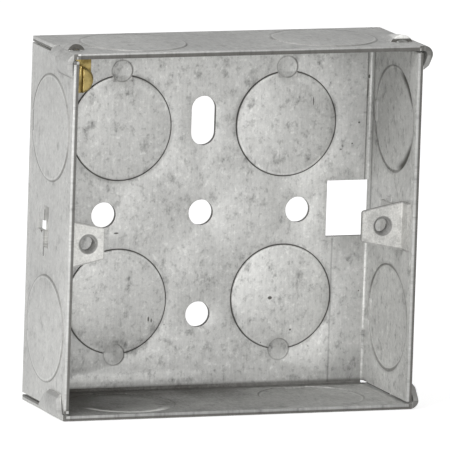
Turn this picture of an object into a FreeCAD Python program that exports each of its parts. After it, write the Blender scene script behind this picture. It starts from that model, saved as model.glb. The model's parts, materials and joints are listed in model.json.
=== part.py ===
import FreeCAD
import Part
import math
import os

# A flush metal back box for one switch or socket, folded from one galvanised sheet.
# The box stands upright on its bottom wall. X runs to the right, Z up, and the open
# front faces -Y. The origin is on the back face, on the axis of the centre fixing hole.
# A depth is a distance from the back face, so a point at depth d lies at y = -d.

# Sheet and outer size, in millimetres
BOX_WIDTH = 71.3
BOX_HEIGHT = 71.0
BOX_DEPTH = 25.0
SHEET = 1.0
BEND_INNER = 0.4

# Corners: open seam, relief notch and the tabs that wrap round on to the side walls
SEAM_GAP = 0.45
NOTCH_LENGTH = 0.8
NOTCH_REACH = 1.1
TAB_ROOT_DEPTH = 14.3
TAB_TIP_DEPTH = 18.5
TAB_RADIUS = 1.8
TAB_TIP_GAP = 0.08
TAB_TIP_EDGE = 0.35
TAB_TIP_CHAMFER = 1.1
TAB_CUT_CLEARANCE = 0.04
TOP_TAB_DROP = 4.5
BOTTOM_TAB_DROP = 4.9
TOP_TAB_FRONT_TAPER = 0.6
BOTTOM_TAB_FRONT_TAPER = 2.2
TAB_GAP_TOP_LEFT = 0.35
TAB_GAP_TOP_RIGHT = 0.95
TAB_GAP_BOTTOM_LEFT = 0.35
TAB_GAP_BOTTOM_RIGHT = 0.5

# Knockouts: part-sheared discs held by one tie each
KNOCKOUT_DIA = 20.8
BASE_KNOCKOUT_OFFSET = 17.0
WALL_KNOCKOUT_OFFSET = 19.5
WALL_KNOCKOUT_DEPTH = 13.1
SHEAR_WIDTH = 0.25
WALL_SHEAR_WIDTH = 0.1
SHEAR_DEPTH_SHARE = 0.45
DISC_STEP = 0.2
TIE_WIDTH = 4.0
TIE_REACH = 1.3
DIMPLE_DIA = 4.2
DIMPLE_DEPTH = 0.25
TOP_DIMPLE_OFFSET = 0.7
BOTTOM_DIMPLE_OFFSET = 0.0

# Fixing holes and slot in the base
FIXING_DIA = 5.0
FIXING_PITCH = 20.0
SLOT_LENGTH = 9.6
SLOT_OFFSET = 18.0

# Lug screws: this inset puts them at the standard spacing for switches and sockets, 60.3
SCREW_INSET = 5.5
THREAD_DIA = 3.0

# Rectangular cut-outs in the base, behind the lug screws
CUTOUT_INNER_EDGE = 26.0
CUTOUT_HEIGHT = 11.0

# Slots in the side walls, behind the lug stems
WALL_SLOT_LENGTH = 8.0
WALL_SLOT_DEPTH = 10.6
WALL_SLOT_WIDTH = 2.6
WALL_NOTCH_HEIGHT = 2.1
WALL_NOTCH_LENGTH = 3.5

# Lugs
LUG_SHEET = 0.55
LUG_FACE_DEPTH = 20.7
LUG_FLANGE_RISE = 2.6
LUG_ROOT_WIDTH = 9.4
LUG_TIP_WIDTH = 6.0
LUG_TIP_RADIUS = 0.5
LUG_FOLD_RADIUS = 0.25
LUG_STEM_WIDTH = 6.4
LUG_STEM_END_DEPTH = 9.2
LUG_COLLAR_WALL = 0.9
LUG_COLLAR_LENGTH = 1.65
LUG_THREAD_CHAMFER = 0.4
LUG_RIGHT_TIP = 4.35
LUG_LEFT_TIP = 3.3
LUG_RIGHT_HEIGHT = -0.2
LUG_LEFT_HEIGHT = -2.0

# Lanced scoops in the top wall, one at each end
SCOOP_LEFT_WIDTH = 3.2
SCOOP_RIGHT_WIDTH = 4.3
SCOOP_SIDE_MARGIN = 0.5
SCOOP_BACK_DEPTH = 9.0
SCOOP_MOUTH_DEPTH = 20.2
SCOOP_LEFT_RISE = 1.2
SCOOP_RIGHT_RISE = 1.5

# Earth terminal and its screw
TERMINAL_SHEET = 1.0
TERMINAL_WALL_GAP = 0.3
TERMINAL_WIDTH = 5.2
TERMINAL_DROP = 7.8
TERMINAL_FACE_DEPTH = 16.6
TERMINAL_FOOT_LENGTH = 5.0
TERMINAL_CORNER_RADIUS = 1.6
TERMINAL_BEND_INNER = 0.5
TERMINAL_SCREW_DROP = 5.1
TERMINAL_HEAD_DIA = 5.2
TERMINAL_HEAD_HEIGHT = 1.8
TERMINAL_HEAD_CHAMFER = 0.45
TERMINAL_SHANK_DIA = 3.5
TERMINAL_SHANK_LENGTH = 5.5
TERMINAL_SHANK_TIP = 0.5
TERMINAL_THREAD_CLEARANCE = 0.05
TERMINAL_SLOT_WIDTH = 0.8
TERMINAL_SLOT_DEPTH = 0.9

# Worked out from the values above
OVER = 1.0
BEND_OUTER = SHEET + BEND_INNER
HALF_WIDTH = BOX_WIDTH / 2
HALF_HEIGHT = BOX_HEIGHT / 2
INNER_HALF_WIDTH = HALF_WIDTH - SHEET
INNER_HALF_HEIGHT = HALF_HEIGHT - SHEET
SIDE_HALF_HEIGHT = INNER_HALF_HEIGHT - SEAM_GAP
KNOCKOUT_RADIUS = KNOCKOUT_DIA / 2
SHEAR_DEPTH = SHEET * SHEAR_DEPTH_SHARE
SCREW_OFFSET = HALF_WIDTH - SCREW_INSET
THREAD_RADIUS = THREAD_DIA / 2


def vec(x, y, z):
    """A point or direction."""
    return FreeCAD.Vector(x, y, z)


def block(x_range, depth_range, z_range):
    """A box between two values of x, two depths and two values of z."""
    x_low, x_high = sorted(x_range)
    near, far = sorted(depth_range)
    z_low, z_high = sorted(z_range)
    return Part.makeBox(x_high - x_low, far - near, z_high - z_low, vec(x_low, -far, z_low))


def joined(shapes):
    """One solid from several that touch or overlap, with its flush faces merged."""
    whole = shapes[0]
    for shape in shapes[1:]:
        whole = whole.fuse(shape)
    return whole.removeSplitter()


def arc_edge(centre, radius, start, end, place):
    """An arc between two angles in degrees, in a plane given by the function place."""
    points = []
    for angle in (start, (start + end) / 2, end):
        turn = math.radians(angle)
        points.append(place(centre[0] + radius * math.cos(turn), centre[1] + radius * math.sin(turn)))
    return Part.Arc(*points).toShape()


def line_edge(start, end, place):
    """A straight edge between two points of the plane."""
    return Part.makeLine(place(*start), place(*end))


def swept(edges, travel):
    """The solid that a closed outline of edges sweeps along a vector."""
    outline = Part.Wire(Part.__sortEdges__(edges))
    return Part.Face(outline).extrude(travel)


def polygon_prism(points, place, travel):
    """The solid that a straight-sided outline sweeps along a vector."""
    corners = [place(*point) for point in points]
    return Part.Face(Part.makePolygon(corners + corners[:1])).extrude(travel)


# Folded sheet

def bend(half_span, half_wall, towards):
    """The quarter-round fold between the base and a wall; towards maps (out, depth, along) to a point."""

    def place(out, depth):
        return towards(out, depth, -half_span)

    centre = (half_wall - BEND_OUTER, BEND_OUTER)
    edges = [
        arc_edge(centre, BEND_OUTER, -90, 0, place),
        line_edge((half_wall, BEND_OUTER), (half_wall - SHEET, BEND_OUTER), place),
        arc_edge(centre, BEND_INNER, 0, -90, place),
        line_edge((half_wall - BEND_OUTER, SHEET), (half_wall - BEND_OUTER, 0), place),
    ]
    return swept(edges, towards(0, 0, 2 * half_span))


def side_place(sign):
    """Maps outward distance, depth and height to a point on the left (-1) or right (1) wall."""
    return lambda out, depth, along: vec(sign * out, -depth, along)


def end_place(sign):
    """Maps outward distance, depth and width to a point on the bottom (-1) or top (1) wall."""
    return lambda out, depth, along: vec(along, -depth, sign * out)


def folded_shell():
    """Base, four folds and four walls; the top and bottom walls cover the ends of the side walls."""
    base_half_width = HALF_WIDTH - BEND_OUTER
    base_half_height = HALF_HEIGHT - BEND_OUTER
    parts = [block((-base_half_width, base_half_width), (0, SHEET), (-base_half_height, base_half_height))]
    wall_depths = (BEND_OUTER, BOX_DEPTH)
    for sign in (-1, 1):
        parts.append(bend(base_half_height, HALF_WIDTH, side_place(sign)))
        parts.append(bend(base_half_width, HALF_HEIGHT, end_place(sign)))
        parts.append(block((sign * INNER_HALF_WIDTH, sign * HALF_WIDTH), wall_depths,
                           (-SIDE_HALF_HEIGHT, SIDE_HALF_HEIGHT)))
        parts.append(block((-HALF_WIDTH, HALF_WIDTH), wall_depths,
                           (sign * INNER_HALF_HEIGHT, sign * HALF_HEIGHT)))
    return joined(parts)


def tab_section(gap, drop):
    """Outline of a wrap-round tab, as (outward distance, distance below the wall's outer face)."""
    centre = (HALF_WIDTH + gap + SHEET - TAB_RADIUS, TAB_RADIUS)
    inner_radius = TAB_RADIUS - SHEET
    straight = drop - TAB_RADIUS
    lean = math.asin(min(0.7, (gap - TAB_TIP_GAP) / straight))
    along = (-math.sin(lean), math.cos(lean))
    across = (math.cos(lean), math.sin(lean))

    def at(radius, distance):
        return (centre[0] + radius * across[0] + distance * along[0],
                centre[1] + radius * across[1] + distance * along[1])

    outer_end = at(TAB_RADIUS, straight - TAB_TIP_CHAMFER)
    tip_outer = at(inner_radius + TAB_TIP_EDGE, straight)
    tip_inner = at(inner_radius, straight)
    root = HALF_WIDTH - NOTCH_REACH
    return centre, inner_radius, math.degrees(lean), root, outer_end, tip_outer, tip_inner, at


def wrap_tab(side, end, gap, drop):
    """The tab of the top (end 1) or bottom (end -1) wall that wraps round on to a side wall."""
    centre, inner_radius, lean, root, outer_end, tip_outer, tip_inner, at = tab_section(gap, drop)

    def place(out, below):
        return vec(side * out, -BOX_DEPTH, end * (HALF_HEIGHT - below))

    edges = [
        line_edge((root, 0), (centre[0], 0), place),
        arc_edge(centre, TAB_RADIUS, -90, lean, place),
        line_edge(at(TAB_RADIUS, 0), outer_end, place),
        line_edge(outer_end, tip_outer, place),
        line_edge(tip_outer, tip_inner, place),
        line_edge(tip_inner, at(inner_radius, 0), place),
        arc_edge(centre, inner_radius, lean, -90, place),
        line_edge((centre[0], SHEET), (root, SHEET), place),
        line_edge((root, SHEET), (root, 0), place),
    ]
    return swept(edges, vec(0, BOX_DEPTH - TAB_ROOT_DEPTH, 0))


def tab_trim(side, end, drop, front_taper):
    """What is cut off a tab's two edges, so that it narrows towards its tip."""
    low = drop + OVER
    start = TAB_RADIUS * 0.8

    def place(depth, below):
        return vec(side * (HALF_WIDTH + TAB_CUT_CLEARANCE), -depth, end * (HALF_HEIGHT - below))

    travel = vec(side * (TAB_RADIUS + SHEET + OVER), 0, 0)
    back = polygon_prism([(TAB_ROOT_DEPTH - OVER, start), (TAB_ROOT_DEPTH, start),
                          (TAB_TIP_DEPTH, low), (TAB_ROOT_DEPTH - OVER, low)], place, travel)
    front = polygon_prism([(BOX_DEPTH + OVER, start), (BOX_DEPTH, start),
                           (BOX_DEPTH - front_taper, low), (BOX_DEPTH + OVER, low)], place, travel)
    return back.fuse(front)


def relief_notch(side, end):
    """The slot that ends the seam and frees the tab from the rest of its wall."""
    return block((side * (HALF_WIDTH - NOTCH_REACH), side * (HALF_WIDTH + OVER)),
                 (TAB_ROOT_DEPTH - NOTCH_LENGTH, TAB_ROOT_DEPTH),
                 (end * (INNER_HALF_HEIGHT - SEAM_GAP / 2), end * (HALF_HEIGHT + OVER)))


def with_corner_tabs(shell):
    """Adds the four wrap-round tabs, each with its relief notch and narrowed tip."""
    corners = [
        (-1, 1, TAB_GAP_TOP_LEFT, TOP_TAB_DROP, TOP_TAB_FRONT_TAPER),
        (1, 1, TAB_GAP_TOP_RIGHT, TOP_TAB_DROP, TOP_TAB_FRONT_TAPER),
        (-1, -1, TAB_GAP_BOTTOM_LEFT, BOTTOM_TAB_DROP, BOTTOM_TAB_FRONT_TAPER),
        (1, -1, TAB_GAP_BOTTOM_RIGHT, BOTTOM_TAB_DROP, BOTTOM_TAB_FRONT_TAPER),
    ]
    tabs = []
    for side, end, gap, drop, front_taper in corners:
        shell = shell.cut(relief_notch(side, end))
        tabs.append(wrap_tab(side, end, gap, drop).cut(tab_trim(side, end, drop, front_taper)))
    return joined([shell] + tabs)


# Knockouts

def knockout(centre, outward, tie, shear_width, grooved):
    """What a knockout removes from the sheet and adds to it.

    centre is on the sheet's face on the side that the disc is pushed to, outward is the
    direction of that push and tie points from the centre to the tie that holds the disc.
    shear_width is how much smaller the raised disc is than its hole, and a grooved disc has
    the sheared line open round it.
    """
    disc_radius = KNOCKOUT_RADIUS - shear_width
    far_face = centre - outward * SHEET
    tie_block = tie_region(centre, outward, tie)
    removed = Part.makeCylinder(KNOCKOUT_RADIUS, DISC_STEP, far_face, outward)
    if grooved:
        removed = removed.fuse(ring(centre, -outward, disc_radius, SHEAR_DEPTH))
    removed = removed.cut(tie_block)
    raised = Part.makeCylinder(disc_radius, DISC_STEP, centre, outward).cut(tie_block)
    return removed, raised


def ring(centre, direction, inner_radius, depth):
    """The sheared groove round a disc, cut from a face into the sheet."""
    outer = Part.makeCylinder(KNOCKOUT_RADIUS, depth, centre, direction)
    return outer.cut(Part.makeCylinder(inner_radius, depth, centre, direction))


def tie_region(centre, outward, tie):
    """The block round a disc's edge in which the sheet stays whole."""
    across = outward.cross(tie)
    length = 2 * TIE_REACH
    start = centre + tie * (KNOCKOUT_RADIUS - TIE_REACH) - across * (TIE_WIDTH / 2) - outward * (SHEET + OVER)
    corners = [start, start + tie * length, start + tie * length + across * TIE_WIDTH, start + across * TIE_WIDTH]
    return Part.Face(Part.makePolygon(corners + corners[:1])).extrude(outward * (SHEET + 2 * OVER))


def tie_dimple(side, end):
    """The round press mark over the tie of one knockout in the base, cut from the inner face."""
    offset = TOP_DIMPLE_OFFSET if end > 0 else BOTTOM_DIMPLE_OFFSET
    height = end * (BASE_KNOCKOUT_OFFSET + KNOCKOUT_RADIUS + offset)
    place = vec(side * BASE_KNOCKOUT_OFFSET, -SHEET - DISC_STEP, height)
    return Part.makeCylinder(DIMPLE_DIA / 2, DISC_STEP + DIMPLE_DEPTH, place, vec(0, 1, 0))


def all_knockouts():
    """Four knockouts in the base and two in each wall, as pairs of removed and added solids."""
    inward, towards_back = vec(0, -1, 0), vec(0, 1, 0)
    pairs = []
    for side in (-1, 1):
        for end in (-1, 1):
            base_centre = vec(side * BASE_KNOCKOUT_OFFSET, -SHEET, end * BASE_KNOCKOUT_OFFSET)
            pairs.append(knockout(base_centre, inward, vec(0, 0, end), SHEAR_WIDTH, True))
            side_centre = vec(side * HALF_WIDTH, -WALL_KNOCKOUT_DEPTH, end * WALL_KNOCKOUT_OFFSET)
            pairs.append(knockout(side_centre, vec(side, 0, 0), towards_back, WALL_SHEAR_WIDTH, False))
            end_centre = vec(side * WALL_KNOCKOUT_OFFSET, -WALL_KNOCKOUT_DEPTH, end * HALF_HEIGHT)
            pairs.append(knockout(end_centre, vec(0, 0, end), towards_back, WALL_SHEAR_WIDTH, False))
    return pairs


# Holes

def base_hole(x, z):
    """A round fixing hole through the base."""
    return Part.makeCylinder(FIXING_DIA / 2, SHEET + 2 * OVER, vec(x, OVER, z), vec(0, -1, 0))


def fixing_cuts():
    """Centre, left, right and lower fixing holes, and the upright slot above the centre."""
    half_run = (SLOT_LENGTH - FIXING_DIA) / 2
    cuts = [base_hole(0, 0), base_hole(-FIXING_PITCH, 0), base_hole(FIXING_PITCH, 0), base_hole(0, -FIXING_PITCH)]
    cuts.append(base_hole(0, SLOT_OFFSET + half_run))
    cuts.append(base_hole(0, SLOT_OFFSET - half_run))
    cuts.append(block((-FIXING_DIA / 2, FIXING_DIA / 2), (-OVER, SHEET + OVER),
                      (SLOT_OFFSET - half_run, SLOT_OFFSET + half_run)))
    return cuts


def side_cuts(side):
    """The base cut-out behind one lug screw, and the slot with its notch in the wall beside it."""
    half_slot = WALL_SLOT_LENGTH / 2
    half_notch = WALL_NOTCH_HEIGHT / 2
    wall = (side * (INNER_HALF_WIDTH - OVER), side * (HALF_WIDTH + OVER))
    return [
        block((side * CUTOUT_INNER_EDGE, side * INNER_HALF_WIDTH), (-OVER, BEND_OUTER),
              (-CUTOUT_HEIGHT / 2, CUTOUT_HEIGHT / 2)),
        block(wall, (WALL_SLOT_DEPTH, WALL_SLOT_DEPTH + WALL_SLOT_WIDTH), (-half_slot, half_slot)),
        block(wall, (WALL_SLOT_DEPTH - WALL_NOTCH_LENGTH, WALL_SLOT_DEPTH + OVER), (-half_notch, half_notch)),
    ]


# Lanced scoops

def scoop(side, base_z):
    """The wedge under a round arch that climbs from the sheet to its open mouth."""
    width, rise = (SCOOP_LEFT_WIDTH, SCOOP_LEFT_RISE) if side < 0 else (SCOOP_RIGHT_WIDTH, SCOOP_RIGHT_RISE)
    outer = HALF_WIDTH - SCOOP_SIDE_MARGIN
    inner = outer - width
    radius = (width ** 2 / 4 + rise ** 2) / (2 * rise)
    run = SCOOP_MOUTH_DEPTH - SCOOP_BACK_DEPTH
    start = vec(side * (inner + outer) / 2, -SCOOP_BACK_DEPTH, base_z - radius)
    arch = Part.makeCylinder(radius, run + OVER, start, vec(0, -run, rise))
    return arch.common(block((side * inner, side * outer), (SCOOP_BACK_DEPTH, SCOOP_MOUTH_DEPTH),
                             (base_z, base_z + rise + OVER)))


def box_body():
    """The whole folded sheet."""
    body = with_corner_tabs(folded_shell())
    cuts = fixing_cuts() + side_cuts(-1) + side_cuts(1)
    raised = []
    for removed, added in all_knockouts():
        cuts.append(removed)
        raised.append(added)
    for cut in cuts:
        body = body.cut(cut)
    raised += [scoop(side, HALF_HEIGHT) for side in (-1, 1)]
    body = joined([body] + raised)
    for side in (-1, 1):
        body = body.cut(scoop(side, INNER_HALF_HEIGHT))
        for end in (-1, 1):
            body = body.cut(tie_dimple(side, end))
    return body


# Lugs

def lug_plate(tip_offset):
    """The tapered plate that carries the thread, from the wall to its tip, at height 0."""
    root_x = INNER_HALF_WIDTH
    tip_x = SCREW_OFFSET - tip_offset
    half_root, half_tip = LUG_ROOT_WIDTH / 2, LUG_TIP_WIDTH / 2
    shoulder_x = root_x - LUG_SHEET

    def place(x, z):
        return vec(x, -LUG_FACE_DEPTH, z)

    outline = [(root_x, -half_root), (root_x, half_root), (shoulder_x, half_root),
               (tip_x, half_tip), (tip_x, -half_tip), (shoulder_x, -half_root)]
    plate = polygon_prism(outline, place, vec(0, LUG_SHEET, 0))
    corners = [edge for edge in plate.Edges
               if len(edge.Vertexes) == 2 and all(abs(v.X - tip_x) < 1e-6 for v in edge.Vertexes)
               and abs(edge.Vertexes[0].Z - edge.Vertexes[1].Z) < 1e-6]
    return plate.makeFillet(LUG_TIP_RADIUS, corners)


def lug_fold():
    """The rounded corner between the plate's front and the flange."""
    corner = (INNER_HALF_WIDTH - LUG_SHEET, LUG_FACE_DEPTH)
    centre = (corner[0] - LUG_FOLD_RADIUS, corner[1] + LUG_FOLD_RADIUS)

    def place(x, depth):
        return vec(x, -depth, -LUG_ROOT_WIDTH / 2)

    edges = [
        arc_edge(centre, LUG_FOLD_RADIUS, -90, 0, place),
        line_edge((corner[0], centre[1]), corner, place),
        line_edge(corner, (centre[0], corner[1]), place),
    ]
    return swept(edges, vec(0, 0, LUG_ROOT_WIDTH))


def lug(tip_offset):
    """A lug on the right wall at height 0: plate with its drawn collar, flange and stem."""
    wall_x = (INNER_HALF_WIDTH - LUG_SHEET, INNER_HALF_WIDTH)
    plate_back = LUG_FACE_DEPTH - LUG_SHEET
    flange = block(wall_x, (plate_back, LUG_FACE_DEPTH + LUG_FLANGE_RISE), (-LUG_ROOT_WIDTH / 2, LUG_ROOT_WIDTH / 2))
    stem = block(wall_x, (LUG_STEM_END_DEPTH, plate_back), (-LUG_STEM_WIDTH / 2, LUG_STEM_WIDTH / 2))
    into_box = vec(0, 1, 0)
    collar_start = vec(SCREW_OFFSET, -LUG_FACE_DEPTH, 0)
    collar_length = LUG_SHEET + LUG_COLLAR_LENGTH
    collar = Part.makeCylinder(THREAD_RADIUS + LUG_COLLAR_WALL, collar_length, collar_start, into_box)
    hole = Part.makeCylinder(THREAD_RADIUS, collar_length + 2 * OVER, collar_start - into_box * OVER, into_box)
    mouth = Part.makeCone(THREAD_RADIUS + LUG_THREAD_CHAMFER, THREAD_RADIUS, LUG_THREAD_CHAMFER,
                          collar_start, into_box)
    return joined([lug_plate(tip_offset), flange, stem, lug_fold(), collar]).cut(hole).cut(mouth)


def lug_right():
    """The right lug, close to level with the centre fixing hole."""
    return lug(LUG_RIGHT_TIP).translated(vec(0, 0, LUG_RIGHT_HEIGHT))


def lug_left():
    """The left lug, mirrored and set a little lower."""
    mirrored = lug(LUG_LEFT_TIP).mirror(vec(0, 0, 0), vec(1, 0, 0))
    return mirrored.translated(vec(0, 0, LUG_LEFT_HEIGHT))


# Earth terminal

def terminal_centre_x():
    """Middle of the terminal's width."""
    return -INNER_HALF_WIDTH + TERMINAL_WALL_GAP + TERMINAL_WIDTH / 2


def screw_axis_point():
    """Where the terminal screw's axis meets the front of the terminal plate."""
    return vec(terminal_centre_x(), -TERMINAL_FACE_DEPTH, INNER_HALF_HEIGHT - TERMINAL_SCREW_DROP)


def earth_terminal():
    """An angle of brass strip: a foot under the top wall and a plate that hangs down to take the screw."""
    low_x = terminal_centre_x() - TERMINAL_WIDTH / 2
    plate_back = TERMINAL_FACE_DEPTH - TERMINAL_SHEET
    outer_radius = TERMINAL_BEND_INNER + TERMINAL_SHEET
    centre = (TERMINAL_FACE_DEPTH - outer_radius, outer_radius)

    def place(depth, below):
        return vec(low_x, -depth, INNER_HALF_HEIGHT - below)

    edges = [
        line_edge((plate_back - TERMINAL_FOOT_LENGTH, 0), (centre[0], 0), place),
        arc_edge(centre, outer_radius, -90, 0, place),
        line_edge((TERMINAL_FACE_DEPTH, outer_radius), (TERMINAL_FACE_DEPTH, TERMINAL_DROP), place),
        line_edge((TERMINAL_FACE_DEPTH, TERMINAL_DROP), (plate_back, TERMINAL_DROP), place),
        line_edge((plate_back, TERMINAL_DROP), (plate_back, outer_radius), place),
        arc_edge(centre, TERMINAL_BEND_INNER, 0, -90, place),
        line_edge((centre[0], TERMINAL_SHEET), (plate_back - TERMINAL_FOOT_LENGTH, TERMINAL_SHEET), place),
        line_edge((plate_back - TERMINAL_FOOT_LENGTH, TERMINAL_SHEET), (plate_back - TERMINAL_FOOT_LENGTH, 0), place),
    ]
    strip = swept(edges, vec(TERMINAL_WIDTH, 0, 0))
    bottom_z = INNER_HALF_HEIGHT - TERMINAL_DROP
    corners = [edge for edge in strip.Edges
               if all(abs(v.Z - bottom_z) < 1e-6 for v in edge.Vertexes)
               and abs(edge.Vertexes[0].X - edge.Vertexes[1].X) < 1e-6]
    strip = strip.makeFillet(TERMINAL_CORNER_RADIUS, corners)
    hole_radius = TERMINAL_SHANK_DIA / 2 + TERMINAL_THREAD_CLEARANCE
    hole = Part.makeCylinder(hole_radius, TERMINAL_SHEET + 2 * OVER, screw_axis_point() - vec(0, OVER, 0), vec(0, 1, 0))
    return strip.cut(hole)


def terminal_screw():
    """A slotted cheese-head screw, its head seated on the terminal plate."""
    seat = screw_axis_point()
    head = Part.makeCylinder(TERMINAL_HEAD_DIA / 2, TERMINAL_HEAD_HEIGHT, seat, vec(0, -1, 0))
    crown_y = seat.y - TERMINAL_HEAD_HEIGHT
    rim = [edge for edge in head.Edges if edge.Closed and abs(edge.CenterOfMass.y - crown_y) < 1e-6]
    head = head.makeChamfer(TERMINAL_HEAD_CHAMFER, rim)
    slot = block((seat.x - TERMINAL_SLOT_WIDTH / 2, seat.x + TERMINAL_SLOT_WIDTH / 2),
                 (-crown_y - TERMINAL_SLOT_DEPTH, -crown_y + OVER),
                 (seat.z - TERMINAL_HEAD_DIA, seat.z + TERMINAL_HEAD_DIA))
    shank_radius = TERMINAL_SHANK_DIA / 2
    shank = Part.makeCylinder(shank_radius, TERMINAL_SHANK_LENGTH, seat, vec(0, 1, 0))
    tip_y = seat.y + TERMINAL_SHANK_LENGTH
    tip = [edge for edge in shank.Edges if edge.Closed and abs(edge.CenterOfMass.y - tip_y) < 1e-6]
    shank = shank.makeChamfer(TERMINAL_SHANK_TIP, tip)
    return head.cut(slot).fuse(shank).removeSplitter()


def main():
    """Builds each piece and writes it as a STEP file."""
    os.makedirs("parts", exist_ok=True)
    pieces = {
        "box_body": box_body(),
        "lug_left": lug_left(),
        "lug_right": lug_right(),
        "earth_terminal": earth_terminal(),
        "terminal_screw": terminal_screw(),
    }
    for name, shape in pieces.items():
        print(name, "solids", len(shape.Solids), "valid", shape.isValid(), "volume", round(shape.Volume, 2))
        shape.exportStep(os.path.join("parts", name + ".step"))


main()
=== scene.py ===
import json
import logging
import math
from dataclasses import dataclass, field
from enum import Enum
from typing import Any, Sequence

import bpy
from mathutils import Matrix, Vector


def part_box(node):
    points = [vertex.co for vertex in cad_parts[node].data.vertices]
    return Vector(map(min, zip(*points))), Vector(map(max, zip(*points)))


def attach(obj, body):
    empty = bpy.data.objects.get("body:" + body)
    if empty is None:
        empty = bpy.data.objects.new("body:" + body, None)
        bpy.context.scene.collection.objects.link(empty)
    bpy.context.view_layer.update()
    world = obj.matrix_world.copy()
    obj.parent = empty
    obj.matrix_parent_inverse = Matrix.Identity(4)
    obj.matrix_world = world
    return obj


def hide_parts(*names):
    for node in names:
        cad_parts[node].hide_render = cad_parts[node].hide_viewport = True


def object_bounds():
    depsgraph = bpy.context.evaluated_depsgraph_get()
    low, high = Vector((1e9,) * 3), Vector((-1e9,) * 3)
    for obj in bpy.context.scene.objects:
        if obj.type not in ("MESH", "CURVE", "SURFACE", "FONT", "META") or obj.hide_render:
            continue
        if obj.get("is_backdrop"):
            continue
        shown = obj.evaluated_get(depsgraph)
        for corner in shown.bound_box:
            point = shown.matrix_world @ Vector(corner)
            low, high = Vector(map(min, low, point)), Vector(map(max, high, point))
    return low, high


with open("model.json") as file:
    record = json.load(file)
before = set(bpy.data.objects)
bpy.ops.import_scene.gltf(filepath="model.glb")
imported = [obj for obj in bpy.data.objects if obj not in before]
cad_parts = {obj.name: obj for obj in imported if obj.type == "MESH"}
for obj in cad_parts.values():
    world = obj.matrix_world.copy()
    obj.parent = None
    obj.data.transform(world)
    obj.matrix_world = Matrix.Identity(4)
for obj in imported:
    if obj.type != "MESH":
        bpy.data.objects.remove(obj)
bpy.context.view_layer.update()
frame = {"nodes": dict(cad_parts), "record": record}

# The looks of a flush metal back box: its finishes, cut threads, camera and light.
# The frame is in metres, with X to the right, Z up and the open front towards -Y.
# The origin is on the back face, on the axis of the centre fixing hole.

MM = 0.001

# Limits between the faces of the folded sheet, in millimetres
WALL_FROM = 34.2
BASE_TO = 1.6
INNER_FROM = 0.6
OUTER_SIDE = 35.4
OUTER_END = 35.25
RIM_FROM = 24.93
LUG_FACE_FROM = 20.6

log = logging.getLogger("back_box")


class Slot(Enum):
    """Names for the material slots of the pieces."""

    SHEET = "galvanised_sheet"
    LUG = "lug_steel"
    BRASS = "terminal_brass"


class Piece(Enum):
    """The separate pieces of the box, by the name of their node."""

    BODY = "box_body"
    LUG_LEFT = "lug_left"
    LUG_RIGHT = "lug_right"
    TERMINAL = "earth_terminal"
    TERMINAL_SCREW = "terminal_screw"


# Shader maths


@dataclass
class Graph:
    """The node tree of one material, with short ways to add nodes to it.

    Args:
        tree: The node tree that the nodes go into.
    """

    tree: bpy.types.NodeTree

    def node(self, kind: str, settings: dict[str, Any] | None = None,
             inputs: dict[Any, Any] | None = None) -> bpy.types.Node:
        """Adds one node.

        Args:
            kind: The node's type name.
            settings: Properties to set before the sockets, such as a Math node's operation.
            inputs: Values or fields for the node's sockets, by name or index.

        Returns:
            The new node.
        """
        made = self.tree.nodes.new(kind)
        for name, value in (settings or {}).items():
            setattr(made, name, value)
        for name, value in (inputs or {}).items():
            if isinstance(value, Field):
                self.tree.links.new(value.socket, made.inputs[name])
            else:
                made.inputs[name].default_value = value
        return made

    def value(self, kind: str, output: Any = 0, settings: dict[str, Any] | None = None,
              inputs: dict[Any, Any] | None = None) -> "Field":
        """Adds one node and wraps one of its outputs.

        Args:
            kind: The node's type name.
            output: The name or index of the output to wrap.
            settings: Properties to set before the sockets.
            inputs: Values or fields for the node's sockets.

        Returns:
            The wrapped output.
        """
        return Field(self, self.node(kind, settings, inputs).outputs[output])

    def smooth_step(self, source: "Field", start: float, end: float) -> "Field":
        """Eases from 0 at start to 1 at end.

        Args:
            source: The value that is eased.
            start: Where the result is 0.
            end: Where the result is 1. It may be lower than start.

        Returns:
            The eased value, held between 0 and 1.
        """
        return self.value("ShaderNodeMapRange", "Result", {"interpolation_type": "SMOOTHSTEP"},
                          {"Value": source, "From Min": start, "From Max": end})

    def noise(self, place: "Field", scale: float, detail: float = 2.0, roughness: float = 0.5) -> "Field":
        """Cloudy noise around 0.5 at a scale given per millimetre.

        Args:
            place: The coordinate, in millimetres.
            scale: Lumps per millimetre.
            detail: Finer layers on top of the first.
            roughness: The strength of the finer layers.

        Returns:
            The noise.
        """
        return self.value("ShaderNodeTexNoise", 0, {"noise_dimensions": "3D"},
                          {"Vector": place, "Scale": scale, "Detail": detail, "Roughness": roughness})

    def combine(self, x: "Field | float", y: "Field | float", z: "Field | float") -> "Field":
        """Makes a vector from three values."""
        return self.value("ShaderNodeCombineXYZ", 0, None, {0: x, 1: y, 2: z})

    def blend(self, factor: "Field | float", low: Any, high: Any, mode: str = "MIX") -> "Field":
        """Mixes two colours.

        Args:
            factor: How much of the second colour there is.
            low: The first colour.
            high: The second colour.
            mode: The way in which the two are mixed.

        Returns:
            The mixed colour.
        """
        settings = {"data_type": "RGBA", "blend_type": mode, "clamp_factor": True}
        return self.value("ShaderNodeMix", 2, settings, {0: factor, 6: low, 7: high})


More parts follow.
